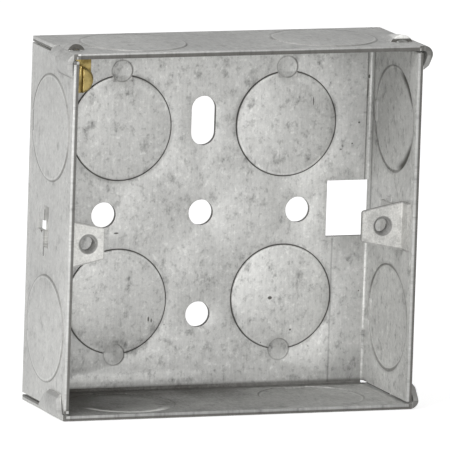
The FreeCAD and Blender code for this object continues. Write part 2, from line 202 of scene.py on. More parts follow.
@dataclass
class Field:
    """A socket that takes part in Python expressions, which add Math nodes.

    Args:
        graph: The graph that the socket belongs to.
        socket: The wrapped output socket.
    """

    graph: Graph
    socket: bpy.types.NodeSocket

    def math(self, operation: str, *others: "Field | float") -> "Field":
        """Adds a Math node.

        Args:
            operation: The node's operation.
            others: The values after this one.

        Returns:
            The node's result.
        """
        return self._math(operation, (self, *others))

    def _math(self, operation: str, values: Sequence["Field | float"]) -> "Field":
        """Adds a Math node on values in the order given."""
        return self.graph.value("ShaderNodeMath", 0, {"operation": operation}, dict(enumerate(values)))

    def __add__(self, other: "Field | float") -> "Field":
        """Adds."""
        return self._math("ADD", (self, other))

    __radd__ = __add__

    def __sub__(self, other: "Field | float") -> "Field":
        """Subtracts."""
        return self._math("SUBTRACT", (self, other))

    def __rsub__(self, other: float) -> "Field":
        """Subtracts this from a number."""
        return self._math("SUBTRACT", (other, self))

    def __mul__(self, other: "Field | float") -> "Field":
        """Multiplies."""
        return self._math("MULTIPLY", (self, other))

    __rmul__ = __mul__

    def __truediv__(self, other: "Field | float") -> "Field":
        """Divides."""
        return self._math("DIVIDE", (self, other))

    def __rtruediv__(self, other: float) -> "Field":
        """Divides a number by this."""
        return self._math("DIVIDE", (other, self))

    def magnitude(self) -> "Field":
        """The value without its sign."""
        return self.math("ABSOLUTE")

    def above(self, limit: "Field | float") -> "Field":
        """1 where the value is greater than the limit, and 0 elsewhere."""
        return self.math("GREATER_THAN", limit)

    def below(self, limit: "Field | float") -> "Field":
        """1 where the value is less than the limit, and 0 elsewhere."""
        return self.math("LESS_THAN", limit)

    def at_least(self, other: "Field | float") -> "Field":
        """The greater of the two values."""
        return self.math("MAXIMUM", other)

    def at_most(self, other: "Field | float") -> "Field":
        """The lesser of the two values."""
        return self.math("MINIMUM", other)


def grey(tone: float) -> tuple[float, float, float, float]:
    """A neutral colour of one tone."""
    return (tone, tone, tone, 1.0)


@dataclass
class Surface(Graph):
    """A material's graph with its coordinates in millimetres and its one shader.

    Args:
        tree: The node tree that the nodes go into.
    """

    place: Field = field(init=False)
    x: Field = field(init=False)
    y: Field = field(init=False)
    z: Field = field(init=False)
    depth: Field = field(init=False)

    def __post_init__(self) -> None:
        """Clears the tree and adds the coordinates; depth runs from the back face to the open front."""
        self.tree.nodes.clear()
        metres = self.value("ShaderNodeTexCoord", "Object")
        self.place = self.value("ShaderNodeVectorMath", 0, {"operation": "SCALE"},
                                {0: metres, "Scale": 1 / MM})
        parts = self.node("ShaderNodeSeparateXYZ", None, {0: self.place})
        self.x, self.y, self.z = (Field(self, parts.outputs[i]) for i in range(3))
        self.depth = -1.0 * self.y

    def finish(self, colour: Any, roughness: Any, metallic: Any, height: Field | None = None,
               relief: float = 0.0) -> None:
        """Adds the shader and links it to the output.

        Args:
            colour: The base colour.
            roughness: The roughness.
            metallic: How metallic the surface is.
            height: Surface relief, around 0.5.
            relief: The height in metres that a change of 1 in the relief stands for.
        """
        inputs = {"Base Color": colour, "Roughness": roughness, "Metallic": metallic}
        if height is not None:
            inputs["Normal"] = self.value("ShaderNodeBump", 0, None,
                                          {"Strength": 1.0, "Distance": relief, "Height": height})
        shader = self.node("ShaderNodeBsdfPrincipled", None, inputs)
        output = self.node("ShaderNodeOutputMaterial")
        self.tree.links.new(shader.outputs[0], output.inputs[0])


def new_material(name: str) -> tuple[bpy.types.Material, Surface]:
    """Makes an empty material.

    Args:
        name: The material's name.

    Returns:
        The material and its surface graph.
    """
    material = bpy.data.materials.new(name)
    material.use_nodes = True
    return material, Surface(material.node_tree)


# Finishes


@dataclass(frozen=True)
class Speck:
    """A dark spot on the inner face of the base, in millimetres.

    Args:
        x: Its middle, to the right of the centre hole.
        z: Its middle, above the centre hole.
        half_width: Half of its width.
        half_height: Half of its height.
    """

    x: float
    z: float
    half_width: float
    half_height: float


@dataclass(frozen=True)
class KnockoutPlan:
    """Where the knockouts are, in millimetres.

    Args:
        radius: Outer radius of the sheared line round each disc.
        base_offset: Distance of the discs on the base from its two centre lines.
        wall_offset: Distance of the discs on the walls from the wall's middle.
        wall_depth: Distance of the discs on the walls from the back face.
        shear: Width of the sheared line.
        dimple_radius: Radius of the press marks on the ties.
        dimple_place: Distance of the lower press marks from the base's level centre line.
        dimple_lift: How much farther out the upper press marks are.
    """

    radius: float = 10.4
    base_offset: float = 17.0
    wall_offset: float = 19.5
    wall_depth: float = 13.1
    shear: float = 0.25
    dimple_radius: float = 2.1
    dimple_place: float = 27.4
    dimple_lift: float = 0.7

    def edge_distance(self, across: Field, along: Field, offsets: tuple[float, float]) -> Field:
        """Distance from the middle of the sheared line of the nearest disc, outwards positive.

        Args:
            across: The first coordinate in the wall's plane.
            along: The second coordinate in the wall's plane.
            offsets: The disc's centre in those two coordinates.

        Returns:
            The distance in millimetres.
        """
        du, dv = across - offsets[0], along - offsets[1]
        return (du * du + dv * dv).math("SQRT") - (self.radius - self.shear / 2)


@dataclass
class SheetFaces:
    """Which face of the folded sheet a point is on, and its place on that face, in millimetres.

    Args:
        surface: The graph that the maths goes into.
        plan: Where the knockouts are.
    """

    surface: Surface
    plan: KnockoutPlan = KnockoutPlan()
    on_base: Field = field(init=False)
    on_side: Field = field(init=False)
    on_end: Field = field(init=False)
    inner_base: Field = field(init=False)
    outside: Field = field(init=False)
    across: Field = field(init=False)
    along: Field = field(init=False)
    seed: Field = field(init=False)
    base_edge: Field = field(init=False)
    edge: Field = field(init=False)
    dimple: Field = field(init=False)

    def __post_init__(self) -> None:
        """Works out the faces, the place on them and the nearest sheared line and dimple."""
        s, k = self.surface, self.plan
        wide, high, depth = s.x.magnitude(), s.z.magnitude(), s.depth
        self.on_end = high.above(WALL_FROM)
        self.on_side = wide.above(WALL_FROM) * (1 - self.on_end)
        self.on_base = depth.below(BASE_TO) * (1 - self.on_end) * (1 - self.on_side)
        self.inner_base = self.on_base * depth.above(INNER_FROM)
        self.outside = wide.above(OUTER_SIDE).at_least(high.above(OUTER_END))
        self.along = self.on_end * s.y + (1 - self.on_end) * s.z
        self.across = self.on_side * s.y + (1 - self.on_side) * s.x
        self.seed = self.on_end * 9.0 + self.on_side * 5.0 + s.x.above(0.0) * 3.0
        wall = (k.wall_offset, k.wall_depth)
        self.base_edge = k.edge_distance(wide, high, (k.base_offset, k.base_offset))
        side = k.edge_distance(high, depth, wall)
        end = k.edge_distance(wide, depth, wall)
        elsewhere = (1 - self.on_base) * (1 - self.on_side) * (1 - self.on_end) * 9.0
        self.edge = self.base_edge * self.on_base + side * self.on_side + end * self.on_end + elsewhere
        du, dv = wide - k.base_offset, high - (k.dimple_place + s.z.above(0.0) * k.dimple_lift)
        self.dimple = (du * du + dv * dv).math("SQRT") - k.dimple_radius


@dataclass(frozen=True)
class GalvanisedFinish:
    """Dull zinc on folded sheet, with a grain, mottling, stains, scratches, dirt in the sheared lines, and
    painted shade and highlights.

    Args:
        name: The material's name.
        tone: The clean zinc's colour.
        dirt: The colour of the dirt and of the painted shade.
        metallic: How metallic the zinc is.
        roughness: The zinc's middle roughness.
        specks: Dark spots on the base.
    """

    name: str = "galvanised_sheet_finish"
    tone: tuple[float, float, float] = (0.60, 0.60, 0.585)
    dirt: tuple[float, float, float] = (0.050, 0.046, 0.038)
    metallic: float = 0.5
    roughness: float = 0.52
    specks: tuple[Speck, ...] = ()

    def build(self) -> bpy.types.Material:
        """Makes the material.

        Returns:
            The material.
        """
        material, s = new_material(self.name)
        faces = SheetFaces(s)
        across, along = faces.across, faces.along
        grain = s.noise(s.combine(across * 2.6, along * 0.16, faces.seed), 1.0, 3.0, 0.6)
        cloud = s.noise(s.place, 0.075, 2.0, 0.5)
        mottle = s.noise(s.place, 0.5, 4.0, 0.62)
        fine = s.noise(s.combine(across, along * 0.7, faces.seed), 2.2, 3.0, 0.65)
        smudge = s.noise(s.combine(across * 0.36, along * 0.25, faces.seed), 1.0, 5.0, 0.68)
        smudge = s.smooth_step(smudge, 0.52, 0.74)
        tone = 1.0 + (cloud - 0.5) * 0.30 + (mottle - 0.5) * 0.34
        tone = tone + (grain - 0.5) * 0.30 + (fine - 0.5) * 0.42
        fleck = s.noise(s.combine(across * 0.8, along * 0.62, faces.seed + 3.0), 1.0, 4.0, 0.72)
        calm = 1 - faces.outside * 0.5
        marks = smudge * 0.50 + s.smooth_step(fleck, 0.54, 0.66) * 0.26 - s.smooth_step(fleck, 0.44, 0.36) * 0.18
        # The tone takes stains and a painted highlight on the bottom wall's left knockout.
        tone = tone - marks * calm + self._painted_highlight(s, faces) * (1 - faces.outside) * 0.9
        # A painted highlight along the inner side of each sheared line, away from the press marks.
        lip_highlight = 1 - s.smooth_step((faces.edge + 0.42).magnitude(), 0.06, 0.24)
        tone = tone + lip_highlight * faces.dimple.above(0.1) * 0.14
        tone = tone + self._scratches(s, faces) * 0.10
        tone = tone * self._wear_and_painted_light(s, faces)

        # The dark mask: dirt in the sheared lines, specks, and painted shade in the bends, dents, scoop mouths,
        # slot and on the bottom wall.
        dirt_and_shade = self._sheared_lines(s, faces, mottle).at_least(self._specks(s, faces))
        dirt_and_shade = dirt_and_shade.at_least(self._edges(s, faces, mottle)).at_least(self._bottom_painted_shade(s, faces, cloud, fine))
        shade = s.blend(1.0, (*self.tone, 1.0), s.combine(tone, tone, tone), "MULTIPLY")
        colour = s.blend(dirt_and_shade, shade, (*self.dirt, 1.0))
        roughness = self.roughness + (mottle - 0.5) * 0.30 + (cloud - 0.5) * 0.16 + dirt_and_shade * 0.2
        metallic = self.metallic * (1 - dirt_and_shade * 0.8)
        height = mottle * 0.5 + grain * 0.25 + fine * 0.3
        s.finish(colour, roughness, metallic, height, 0.00006)
        return material

    def _wear_and_painted_light(self, s: Surface, faces: SheetFaces) -> Field:
        """Painted shade and highlights, and where the zinc is duller or brighter: painted shade on the inner
        base's sides and foot, on the bottom wall's inner face and on the right wall's upper inner face; painted
        highlights along the foot, along the base's right bend and on the top of the scoop at the top right; a
        dark line on the base, brighter lower discs, and a duller rim and tabs.

        Args:
            s: The material's graph.
            faces: Which face of the sheet a point is on.

        Returns:
            A factor on the tone.
        """
        # Painted shade on the inner base, darker towards its right and left sides and its foot.
        right = s.smooth_step(s.x, 24.0, 30.0) * 0.26
        left = s.smooth_step(s.x, -22.0, -29.0) * 0.20
        foot = s.smooth_step(s.z, -26.0, -33.0) * 0.18
        # A painted highlight in a band along the foot, on the left, lessens that shade.
        shine = 1 - s.smooth_step((s.z + 31.8).magnitude(), 0.3, 1.5)
        foot = foot - shine * s.smooth_step(s.x, 8.0, -8.0) * 0.26
        # A dark line down the lower right of the base.
        crease = (1 - s.smooth_step((s.x - 27.4).magnitude(), 0.05, 0.3)) * s.z.below(-6.0) * 0.24
        disc = s.smooth_step(faces.base_edge, 0.0, -1.0) * s.z.below(0.0) * 0.07
        rim = s.depth.above(RIM_FROM) * s.x.above(-34.4) * (0.20 + s.z.above(34.4) * 0.16)
        # Painted shade on the inner face of the bottom wall and on the upper inner face of the right wall.
        floor = faces.on_end * s.z.below(0.0) * (1 - faces.outside) * 0.24
        upper = faces.on_side * s.x.above(0.0) * s.smooth_step(s.z, -2.0, 12.0) * (1 - faces.outside) * 0.12
        curl = s.x.magnitude().above(36.05) * s.depth.above(18.0) * (0.12 + s.x.above(0.0) * 0.14)
        low = s.depth.above(0.6) * s.depth.below(3.0) * s.x.below(34.9)
        # A painted highlight along the inner bend between the base and the right wall.
        bend_highlight = (1 - s.smooth_step((s.x - 34.25).magnitude(), 0.15, 0.4)) * low * 0.08
        base = disc - faces.inner_base * (right + left + foot + crease)
        # A painted highlight on the top of the scoop at the top right.
        scoop_highlight = s.smooth_step(s.z, 36.1, 36.4) * s.x.above(30.3) * s.x.below(34.6) * 0.5
        return 1.06 + bend_highlight + scoop_highlight - curl - rim - floor - upper + faces.on_base * base

    def _sheared_lines(self, s: Surface, faces: SheetFaces, mottle: Field) -> Field:
        """Dirt in and beside the sheared lines, darkening in and round the press marks on the base, and painted
        shade in the dents of the right wall's upper knockout.

        Args:
            s: The material's graph.
            faces: Which face of the sheet a point is on.
            mottle: Noise that breaks the dirt up.

        Returns:
            How dark a point is, from dirt and painted shade.
        """
        away = faces.edge.magnitude()
        patch = s.smooth_step(s.noise(s.place, 0.13, 1.0), 0.38, 0.66)
        tied = faces.on_base * faces.dimple.below(0.1)
        slanted = faces.on_side * (1 - faces.outside) * s.smooth_step(s.y, -12.0, -14.0) * 0.5
        depth = s.depth
        line = (1 - s.smooth_step(away * (1 - slanted) - patch * 0.06, 0.05, 0.22)) * (1 - tied)
        line = line * (0.30 + patch * 0.36 + faces.on_side * (1 - patch) * 0.2) * (1 - faces.outside * 0.3)
        back = faces.on_end * s.z.above(0.0) * s.smooth_step(depth, 9.0, 6.0)
        back = back.at_least(faces.on_side * s.x.below(0.0) * s.z.above(0.0) * s.smooth_step(depth, 12.0, 8.0))
        deep = 1 - s.smooth_step(away * (1 - faces.on_end * 0.5), 0.14, 0.34)
        deep = deep * faces.outside * back * (0.35 + patch * 0.4)
        line = line.at_least(deep)
        haze = (1 - s.smooth_step(away, 0.1, 1.0)) * patch * mottle * 0.62 * (1 - tied) * (1 - faces.outside)
        # Painted shade in the dents inside the right wall's upper knockout, widest above and below its front
        # half.
        pressed = faces.on_side * (1 - faces.outside) * s.x.above(0.0) * s.z.above(0.0)
        pressed = pressed * s.smooth_step(depth, 14.0, 18.0)
        sides = s.smooth_step((s.z - 19.5).magnitude(), 1.0, 6.0)
        dent_shade = s.smooth_step(faces.edge / (0.3 + sides * 1.6), -1.0, -0.3) * faces.edge.below(0.15)
        crescent_shade = dent_shade * pressed * (0.15 + sides * 0.82)
        lower = s.z.below(0.0)
        ring = (1 - s.smooth_step(faces.dimple.magnitude(), 0.04, 0.26)) * faces.on_base * (0.28 + patch * 0.3)
        fill = s.smooth_step(faces.dimple, 0.1, -0.3) * faces.on_base * mottle * (0.14 + lower * patch * 0.5)
        bruise = s.smooth_step(faces.dimple, 1.8, -0.4) * s.smooth_step(faces.edge, 0.2, -0.3) * faces.on_base
        fill = fill.at_least(bruise * mottle * 0.5)
        return line.at_least(haze).at_least(crescent_shade).at_least(ring).at_least(fill)

    def _edges(self, s: Surface, faces: SheetFaces, mottle: Field) -> Field:
        """Dark cut faces, dark lines beside the rim, dirt and painted shade in the bends, and painted shade in
        the scoops' mouths, in the left wall's slot and along the tabs' lower edges.

        Args:
            s: The material's graph.
            faces: Which face of the sheet a point is on.
            mottle: Noise that breaks the dirt up.

        Returns:
            How dark a point is.
        """
        depth = s.depth
        cut = depth.above(0.27) * depth.below(0.86) * faces.on_base * faces.dimple.above(0.12) * 0.82
        rim = depth.above(RIM_FROM)
        outer = (s.x.magnitude() - 35.65).at_least(s.z.magnitude() - 35.5)
        left = s.x.below(-34.4) * s.z.magnitude().below(33.5)
        top = s.z.above(34.4) * s.x.magnitude().below(34.9)
        line = s.smooth_step(outer, -0.62, -0.38) * (1 - left) * (1 - top)
        line = line * (1 - outer.above(0.12) * (0.3 + s.x.below(0.0) * 0.5))
        line = line + s.smooth_step(s.x, -35.3, -35.1) * left
        line = line + s.smooth_step(s.z, 35.32, 35.1) * top
        low = depth.below(3.0)
        # Dirt and painted shade in the inner bend between the base and the right wall.
        groove = (1 - s.smooth_step((depth - 2.2).magnitude(), 0.15, 0.6)) * s.x.above(34.1) * 0.8
        seam = (1 - s.smooth_step((s.x - 33.75).magnitude(), 0.06, 0.22)) * depth.above(0.6) * low
        bend_right_dirt_and_shade = seam.at_least(groove) * s.x.below(34.9) * s.smooth_step(s.z, -8.0, -5.0)
        bend_right_dirt_and_shade = bend_right_dirt_and_shade * (0.22 + mottle * 0.7)
        # Painted shade along the inner bend between the base and the bottom wall.
        bend_foot_shade = s.smooth_step(s.z, -33.3, -34.1) * s.z.above(-34.6) * s.x.magnitude().below(34.7)
        bend_foot_shade = bend_foot_shade * low * (0.42 + mottle * 0.6)
        # Painted shade in the scoops' mouths.
        mouth_shade = s.z.magnitude().above(35.56) * s.x.magnitude().above(30.3)
        mouth_shade = mouth_shade * depth.above(19.8) * depth.below(20.6)
        mouth_shade = mouth_shade * (1 - s.x.above(0.0) * s.smooth_step(s.z, 36.05, 36.35)) * 0.9
        # Painted shade in the left wall's slot and the nick beside it.
        slit_shade = (1 - s.smooth_step((depth - 10.8).magnitude(), 0.1, 0.3)) * s.z.above(-5.8) * s.z.below(3.2)
        nick_shade = depth.above(8.7) * depth.below(9.7) * (s.z + 0.3).magnitude().below(1.3 - (9.7 - depth) * 0.6)
        slot_shade = s.x.below(-35.4) * slit_shade.at_least(nick_shade) * 0.85
        curl = s.x.magnitude().above(35.95) * depth.above(13.9)
        # Painted shade along the tabs' lower edges.
        tab_edge_shade = s.smooth_step(s.z.magnitude(), 31.35, 31.0) * curl
        front = s.x.above(35.95) * depth.above(21.5) * (0.42 + s.smooth_step(s.x, 36.9, 37.4) * 0.3)
        joint = (s.z.magnitude() - 34.55).magnitude().below(0.36)
        joint = joint * s.x.magnitude().above(35.2) * depth.below(14.4)
        cut = cut.at_least(mouth_shade).at_least(slot_shade).at_least(tab_edge_shade * 0.3)
        cut = cut.at_least(front).at_least(joint * 0.7)
        return cut.at_least(rim * line * 0.8).at_least(bend_right_dirt_and_shade).at_least(bend_foot_shade)

    def _bottom_painted_shade(self, s: Surface, faces: SheetFaces, cloud: Field, fine: Field) -> Field:
        """Painted shade on the inner face of the bottom wall, deepest at the back on the left, lessened under
        the painted highlight and a painted sheen in the left knockout.

        Args:
            s: The material's graph.
            faces: Which face of the sheet a point is on.
            cloud: Broad noise that bends the shade's edge.
            fine: Fine noise that frays it.

        Returns:
            How dark a point is.
        """
        depth = s.depth
        inner = s.z.below(-33.9) * s.z.above(-35.0) * s.x.magnitude().below(34.6) * depth.below(24.9)
        reach = (s.x + 34.0) / 112.0 + depth / 70.0 + (cloud - 0.5) * 0.6 + (fine - 0.5) * 0.3
        # A painted sheen in the left knockout lightens this painted shade.
        sheen = s.smooth_step(faces.edge, -1.0, -4.0) * s.smooth_step(s.x, -28.0, -16.0) * s.x.below(0.0) * 0.3
        return inner * s.smooth_step(reach, 0.84, 0.04) * (0.97 - self._painted_highlight(s, faces) * 0.95 - sheen)

    def _painted_highlight(self, s: Surface, faces: SheetFaces) -> Field:
        """The painted highlight: a bright streak at the front of the left knockout in the bottom wall.

        Args:
            s: The material's graph.
            faces: Which face of the sheet a point is on.

        Returns:
            How bright the streak is.
        """
        streak = s.smooth_step(faces.edge, -2.8, -1.2) * s.smooth_step(faces.edge, -0.3, -0.7)
        ends = s.smooth_step(s.x, -10.5, -15.0) * s.smooth_step(s.x, -30.0, -26.0)
        return streak * ends * s.smooth_step(s.y, -15.0, -17.5) * faces.on_end * s.z.below(0.0)

    def _scratches(self, s: Surface, faces: SheetFaces) -> Field:
        """Thin bright lines in two directions, in patches.

        Args:
            s: The material's graph.
            faces: Which face of the sheet a point is on.

        Returns:
            How bright the scratches are.
        """
        marks = None
        for turn, seed in ((0.35, 3.0), (-1.1, 11.0)):
            u = faces.across * math.cos(turn) + faces.along * math.sin(turn)
            v = faces.along * math.cos(turn) - faces.across * math.sin(turn)
            lines = s.noise(s.combine(u * 0.09, v * 1.1, seed), 1.0, 2.0)
            thin = 1 - s.smooth_step((lines - 0.5).magnitude(), 0.003, 0.012)
            patch = s.noise(s.combine(faces.across, faces.along, seed + 20.0), 0.14, 2.0)
            patch = s.smooth_step(patch, 0.55, 0.66)
            mark = thin * patch
            marks = mark if marks is None else marks.at_least(mark)
        return marks

    def _specks(self, s: Surface, faces: SheetFaces) -> Field:
        """The photographed dark spots on the base, and small pits everywhere.

        Args:
            s: The material's graph.
            faces: Which face of the sheet a point is on.

        Returns:
            How dark a point is.
        """
        flat = s.combine(faces.across, faces.along, faces.seed)
        cells = s.node("ShaderNodeTexVoronoi", {"feature": "F1", "voronoi_dimensions": "3D"},
                       {"Vector": flat, "Scale": 0.30, "Randomness": 1.0})
        distance = Field(s, cells.outputs["Distance"])
        chance = s.value("ShaderNodeSeparateColor", 0, None, {0: Field(s, cells.outputs["Color"])})
        pits = distance.below((chance - 0.80) * 0.26) * 0.7
        for speck in self.specks:
            du = (s.x - speck.x) / speck.half_width
            dv = (s.z - speck.z) / speck.half_height
            spot = (1 - s.smooth_step(du * du + dv * dv, 0.5, 1.3)) * faces.inner_base
            pits = pits.at_least(spot * 0.9)
        return pits


@dataclass(frozen=True)
class LugPlan:
    """The outline of one lug's plate, in millimetres.

    Args:
        x: The threaded hole's place across the box.
        z: The threaded hole's height.
        tip: Distance of the plate's tip from the middle of the box.
        root: Distance of the wall's inner face from the middle of the box.
        root_half: Half of the plate's width at the wall.
        tip_half: Half of its width at the tip.
    """

    x: float
    z: float
    tip: float
    root: float = 34.65
    root_half: float = 4.7
    tip_half: float = 3.0


@dataclass(frozen=True)
class PlatedFinish:
    """Zinc plating on the lugs, a little cleaner than the sheet.

    Args:
        name: The material's name.
        tone: The plating's colour.
        metallic: How metallic it is.
        roughness: Its middle roughness.
        lugs: The outlines of the plates.
    """

    name: str = "lug_plating"
    tone: tuple[float, float, float] = (0.66, 0.655, 0.63)
    metallic: float = 0.5
    roughness: float = 0.5
    lugs: tuple[LugPlan, ...] = ()

    def build(self) -> bpy.types.Material:
        """Makes the material.

        Returns:
            The material.
        """
        material, s = new_material(self.name)
        mottle = s.noise(s.place, 0.9, 3.0, 0.6)
        fine = s.noise(s.place, 3.2, 2.0, 0.6)
        tone = 1.16 + (mottle - 0.5) * 0.7 + (fine - 0.5) * 0.6 - s.x.above(0.0) * 0.34
        colour = s.blend(1.0, (*self.tone, 1.0), s.combine(tone, tone, tone), "MULTIPLY")
        dark = self._shaded(s)
        colour = s.blend(dark, colour, grey(0.03))
        s.finish(colour, self.roughness + (mottle - 0.5) * 0.3 + dark * 0.2, self.metallic * (1 - dark),
                 mottle * 0.5 + fine * 0.4, 0.00005)
        return material

    def _shaded(self, s: Surface) -> Field:
        """Painted shade in the threaded holes, in a ring round them, along the plate's outline and on the stem
        in the wall's slot, and cut faces darkened partly as painted shade.

        Args:
            s: The material's graph.

        Returns:
            How dark a point is.
        """
        depth = s.depth
        # Cut faces darkened, partly as painted shade, and painted shade on the stem in the wall's slot.
        dark = depth.above(20.19) * depth.below(20.63) * 0.55
        dark = dark.at_least(s.x.magnitude().above(34.9) * depth.above(10.2) * 0.85)
        face = depth.above(LUG_FACE_FROM)
        for lug in self.lugs:
            du, dv = s.x - lug.x, s.z - lug.z
            radius = (du * du + dv * dv).math("SQRT")
            # Painted shade in the hole, in a ring round it and along the plate's outline.
            inside = 1 - s.smooth_step(radius, 1.42, 1.58)
            ring = 1 - s.smooth_step((radius - 1.8).magnitude(), 0.08, 0.24)
            slope = (lug.root_half - lug.tip_half) / (lug.root - lug.tip)
            far = (s.x.magnitude() - lug.tip).at_least(0.0)
            side = (lug.tip_half + far * slope - dv.magnitude()).magnitude()
            edge = side.at_most((s.x.magnitude() - lug.tip).magnitude())
            outline = (1 - s.smooth_step(edge, 0.10, 0.26)) * face * du.magnitude().below(6.0)
            dark = dark.at_least(inside * 0.62).at_least(ring * 0.5).at_least(outline * 0.4)
        return dark


@dataclass(frozen=True)
class BrassFinish:
    """Dull brass, darker where it is tarnished.

    Args:
        name: The material's name.
        clean: The rubbed colour.
        tarnish: The tarnished colour.
        metallic: How metallic it is.
        roughness: Its middle roughness.
    """

    name: str = "terminal_brass_finish"
    clean: tuple[float, float, float] = (0.55, 0.43, 0.175)
    tarnish: tuple[float, float, float] = (0.26, 0.19, 0.06)
    metallic: float = 0.85
    roughness: float = 0.4

    def build(self) -> bpy.types.Material:
        """Makes the material.

        Returns:
            The material.
        """
        material, s = new_material(self.name)
        patch = s.smooth_step(s.noise(s.place, 0.5, 3.0, 0.6), 0.4, 0.66)
        fine = s.noise(s.place, 3.0, 2.0, 0.6)
        colour = s.blend(patch, (*self.clean, 1.0), (*self.tarnish, 1.0))
        s.finish(colour, self.roughness + (fine - 0.5) * 0.25, self.metallic, fine, 0.00004)
        return material


# Meshes


@dataclass
class MadePiece:
    """A piece that starts as a merged copy of its node's mesh and stands in for that node.

    Args:
        piece: Which piece it is.
        slot: The material slot it is meant for; not used.
        finish: Its material.
        bevel: Width of the rounding on its edges, in millimetres.
        segments: Steps in that rounding.
        merge: Distance under which the copy's vertices are merged, in millimetres.
        crease: Angle in degrees from which an edge is rounded and kept sharp.
    """

    piece: Piece
    slot: Slot
    finish: bpy.types.Material
    bevel: float = 0.07
    segments: int = 2
    merge: float = 0.0005
    crease: float = 32.0

    def build(self) -> bpy.types.Object:
        """Makes the finished object.

        Returns:
            The object, which rides on the frame and replaces its node.
        """
        source = frame["nodes"][self.piece.value]
        made = bpy.data.objects.new(self.piece.value + "_finished", source.data.copy())
        bpy.context.scene.collection.objects.link(made)
        self._apply(made, "WELD", merge_threshold=self.merge * MM)
        self._apply(made, "BEVEL", width=self.bevel * MM, segments=self.segments, limit_method="ANGLE",
                    angle_limit=math.radians(self.crease), use_clamp_overlap=True)
        self.add_details(made)
        made.data.materials.clear()
        made.data.materials.append(self.finish)
        for polygon in made.data.polygons:
            polygon.material_index = 0
            polygon.use_smooth = True
        made.data.set_sharp_from_angle(angle=math.radians(self.crease))
        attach(made, "root")
        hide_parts(self.piece.value)
        log.info("%s: %d faces", made.name, len(made.data.polygons))
        return made

    def add_details(self, made: bpy.types.Object) -> None:
        """Adds what is finer than the node's own mesh; a plain piece adds nothing."""

    def _apply(self, made: bpy.types.Object, kind: str, **settings: Any) -> None:
        """Runs one modifier and keeps its result as the plain mesh.

        Args:
            made: The object to change.
            kind: The modifier's type.
            settings: The modifier's properties.
        """
        modifier = made.modifiers.new(kind.lower(), kind)
        for name, value in settings.items():
            setattr(modifier, name, value)
        swap_in_result(made)


def swap_in_result(made: bpy.types.Object) -> None:
    """Turns an object's modifiers into a plain mesh.

    Args:
        made: The object whose modifiers are used up.
    """
    graph = bpy.context.evaluated_depsgraph_get()
    result = bpy.data.meshes.new_from_object(made.evaluated_get(graph))
    made.modifiers.clear()
    old = made.data
    made.data = result
    bpy.data.meshes.remove(old)


@dataclass
class ThreadRun:
    """A screw thread's ridge, made by Geometry Nodes as a coil along the Y axis.

    Args:
        centre: Where the coil starts, in metres.
        length: How far it runs, in metres.
        radius: The radius that the ridge's middle follows, in metres.
        pitch: Distance from one turn to the next, in metres.
        ridge: Half of the ridge's thickness, in metres.
        finish: Its material.
        steps_per_turn: Points along one turn of the coil.
    """

    centre: Vector
    length: float
    radius: float
    pitch: float
    ridge: float
    finish: bpy.types.Material
    steps_per_turn: int = 28

    def mesh(self) -> bpy.types.Mesh:
        """Makes the coil's mesh in the frame's place.

        Returns:
            The mesh.
        """
        holder = bpy.data.objects.new("thread_holder", bpy.data.meshes.new("thread_holder"))
        bpy.context.scene.collection.objects.link(holder)
        modifier = holder.modifiers.new("thread", "NODES")
        modifier.node_group, names = self._tree()
        turns = self.length / self.pitch
        values = {"Turns": turns, "Radius": self.radius, "Length": self.length, "Ridge": self.ridge}
        for name, value in values.items():
            modifier[names[name]] = value
        swap_in_result(holder)
        mesh = holder.data
        mesh.transform(Matrix.Translation(self.centre) @ Matrix.Rotation(math.radians(90), 4, "X"))
        bpy.data.objects.remove(holder)
        return mesh

    def _tree(self) -> tuple[bpy.types.NodeTree, dict[str, str]]:
        """Builds the Geometry Nodes tree.

        Returns:
            The tree, and each input's identifier by its name.
        """
        tree = bpy.data.node_groups.new("thread_ridge", "GeometryNodeTree")
        tree.interface.new_socket("Geometry", in_out="OUTPUT", socket_type="NodeSocketGeometry")
        names = {}
        for name in ("Turns", "Radius", "Length", "Ridge"):
            socket = tree.interface.new_socket(name, in_out="INPUT", socket_type="NodeSocketFloat")
            names[name] = socket.identifier
        g = Graph(tree)
        given = g.node("NodeGroupInput")
        sizes = {name: Field(g, given.outputs[name]) for name in names}
        coil = g.value("GeometryNodeCurveSpiral", 0, None, {
            "Resolution": self.steps_per_turn, "Rotations": sizes["Turns"], "Start Radius": sizes["Radius"],
            "End Radius": sizes["Radius"], "Height": sizes["Length"]})
        profile = g.value("GeometryNodeCurvePrimitiveCircle", 0, None,
                          {"Resolution": 6, "Radius": sizes["Ridge"]})
        ridge = g.value("GeometryNodeCurveToMesh", 0, None,
                        {"Curve": coil, "Profile Curve": profile, "Fill Caps": True})
        real = g.value("GeometryNodeRealizeInstances", 0, None, {0: ridge})
        dressed = g.value("GeometryNodeSetMaterial", 0, None, {"Geometry": real, "Material": self.finish})
        g.node("NodeGroupOutput", None, {0: dressed})
        return tree, names


@dataclass
class ThreadedPiece(MadePiece):
    """A piece with a thread that its node's mesh leaves out.

    Args:
        thread: The thread's ridge.
    """

    thread: ThreadRun | None = None

    def add_details(self, made: bpy.types.Object) -> None:
        """Joins the thread's ridge to the piece.

        Args:
            made: The object to add to.
        """
        if self.thread is None:
            return
        ridge = bpy.data.objects.new("ridge", self.thread.mesh())
        bpy.context.scene.collection.objects.link(ridge)
        with bpy.context.temp_override(active_object=made, selected_editable_objects=[made, ridge]):
            bpy.ops.object.join()


# The whole box


